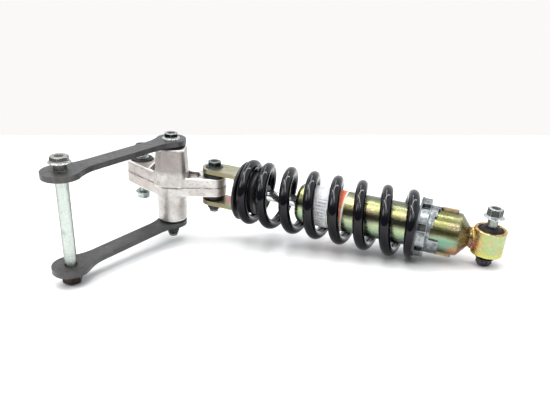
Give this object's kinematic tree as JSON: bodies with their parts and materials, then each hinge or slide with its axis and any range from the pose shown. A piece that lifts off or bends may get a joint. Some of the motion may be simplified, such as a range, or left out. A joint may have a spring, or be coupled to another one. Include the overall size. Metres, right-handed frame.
{
  "type": "rear shock absorber with linkage",
  "caption": "Motorcycle rear shock absorber: gas damper in a black coil spring with a stepped preload ring, bushed upper eye and clevis, joined to a cast rocker arm and paired flat tie rods.",
  "frame": {"origin": "centre of the upper eye, on the shock's axis and half way along the eye's bolt", "axes": "+X along the shock, away from the spring; +Z along all the pivot bolts, towards their heads; -Y towards the tie rods' swingarm end"},
  "size_m": [0.4306, 0.2101, 0.1336],
  "materials": {
    "gold_plate": "yellow zinc plate, iridescent",
    "plated_lugs": "yellow zinc plate, worn",
    "weld": "heat-tinted weld metal",
    "rubber": "moulded",
    "sleeve_steel": "turned",
    "silver_zinc": "dull bright zinc",
    "cast_silver": "cast, zinc plated",
    "dark_plate": "dark green-black plate",
    "black_paint": "gloss",
    "black_plastic": "matt",
    "rod_chrome": "mirror",
    "machined_alloy": "turned",
    "bronze": "turned",
    "piston_band": "moulded",
    "shim_steel": "ground",
    "cast_alloy": "as cast",
    "grey_paint": "satin",
    "paper_white": "printed sticker",
    "paper_orange": "printed sticker"
  },
  "bodies": {
    "damper_body": {"upper_eye": "gold_plate", "eye_weld": "weld", "eye_rubber_bush": "rubber", "upper_housing": "gold_plate", "damper_tube": "gold_plate", "tube_end_cap": "gold_plate", "cam_stop_lugs": "plated_lugs", "rod_guide": "machined_alloy", "rod_bushing": "bronze", "rod_oil_seal": "rubber", "rod_dust_wiper": "rubber", "white_label": "paper_white", "orange_label": "paper_orange", "coil_spring": "black_paint"},
    "upper_sleeve": {"eye_sleeve": "sleeve_steel"},
    "upper_bolt": {"upper_bolt": "silver_zinc", "upper_nut": "dark_plate"},
    "spring_seat": {"upper_spring_seat": "cast_silver"},
    "cam_ring": {"preload_cam_ring": "cast_silver"},
    "free_piston": {"free_piston": "machined_alloy", "free_piston_ring": "rubber"},
    "shock_rod": {"damper_rod": "rod_chrome", "damper_piston": "machined_alloy", "piston_ring": "piston_band", "compression_shims": "shim_steel", "rebound_shims": "shim_steel", "piston_nut": "shim_steel", "bump_stop": "rubber", "spring_guide": "black_plastic", "lower_spring_seat": "black_paint", "clevis": "gold_plate", "rod_locknut": "sleeve_steel", "clevis_sleeve": "sleeve_steel", "clevis_bolt": "dark_plate", "clevis_nut": "dark_plate"},
    "rocker": {"rocker_arm": "cast_alloy", "clevis_bearing": "shim_steel", "clevis_seals": "rubber", "centre_bearings": "shim_steel", "centre_seals": "rubber", "frame_bearing": "shim_steel", "frame_seals": "rubber"},
    "tie_rods": {"upper_tie_rod": "grey_paint", "lower_tie_rod": "grey_paint", "centre_sleeve": "sleeve_steel"},
    "centre_bolt": {"centre_bolt": "dark_plate", "centre_nut": "dark_plate"},
    "swingarm_bolt": {"swingarm_bolt": "silver_zinc", "swingarm_nut": "dark_plate"},
    "frame_sleeve": {"frame_sleeve": "sleeve_steel"},
    "frame_bolt": {"frame_bolt": "dark_plate", "frame_nut": "silver_zinc"}
  },
  "joints": [
    {"name": "rod_slide", "type": "slide", "parent": "damper_body", "child": "shock_rod", "axis": [1, 0, 0], "range_m": [0, 0.036], "deforming": ["coil_spring"]},
    {"name": "free_piston_slide", "type": "slide", "parent": "damper_body", "child": "free_piston", "axis": [1, 0, 0], "range_m": [0, 0.0037]},
    {"name": "spring_seat_slide", "type": "slide", "parent": "damper_body", "child": "spring_seat", "axis": [1, 0, 0], "range_m": [-0.0038, 0.0057], "deforming": ["coil_spring"]},
    {"name": "cam_turn", "type": "hinge", "parent": "spring_seat", "child": "cam_ring", "pos_m": [-0.065, 0, 0], "axis": [1, 0, 0], "range_deg": [-90, 60]},
    {"name": "upper_eye_twist", "type": "hinge", "parent": "damper_body", "child": "upper_sleeve", "pos_m": [0, 0, 0], "axis": [0, 0, 1], "range_deg": [-12, 12], "stiffness_Nm_per_rad": 20},
    {"name": "upper_bolt_slide", "type": "slide", "parent": "upper_sleeve", "child": "upper_bolt", "axis": [0, 0, 1], "range_m": [-0.0094, 0.0021]},
    {"name": "clevis_pivot", "type": "hinge", "parent": "shock_rod", "child": "rocker", "pos_m": [-0.3, 0, 0], "axis": [0, 0, 1], "range_deg": [-45, 45]},
    {"name": "centre_pivot", "type": "hinge", "parent": "rocker", "child": "tie_rods", "pos_m": [-0.3448, -0.0183, 0], "axis": [0, 0, 1], "range_deg": [-60, 45]},
    {"name": "centre_bolt_slide", "type": "slide", "parent": "tie_rods", "child": "centre_bolt", "axis": [0, 0, 1], "range_m": [0, 0.0039]},
    {"name": "swingarm_bolt_slide", "type": "slide", "parent": "tie_rods", "child": "swingarm_bolt", "axis": [0, 0, 1], "range_m": [-0.008, 0.002]},
    {"name": "frame_pivot", "type": "hinge", "parent": "rocker", "child": "frame_sleeve", "pos_m": [-0.3977, 0.0012, 0], "axis": [0, 0, 1], "continuous": true},
    {"name": "frame_bolt_slide", "type": "slide", "parent": "frame_sleeve", "child": "frame_bolt", "axis": [0, 0, 1], "range_m": [-0.0094, 0.0117]}
  ],
  "couplings": [
    {"joint": "spring_seat_slide", "follows": "cam_turn", "m_per_rad": -0.0036287},
    {"joint": "free_piston_slide", "follows": "rod_slide", "ratio": 0.1027}
  ]
}
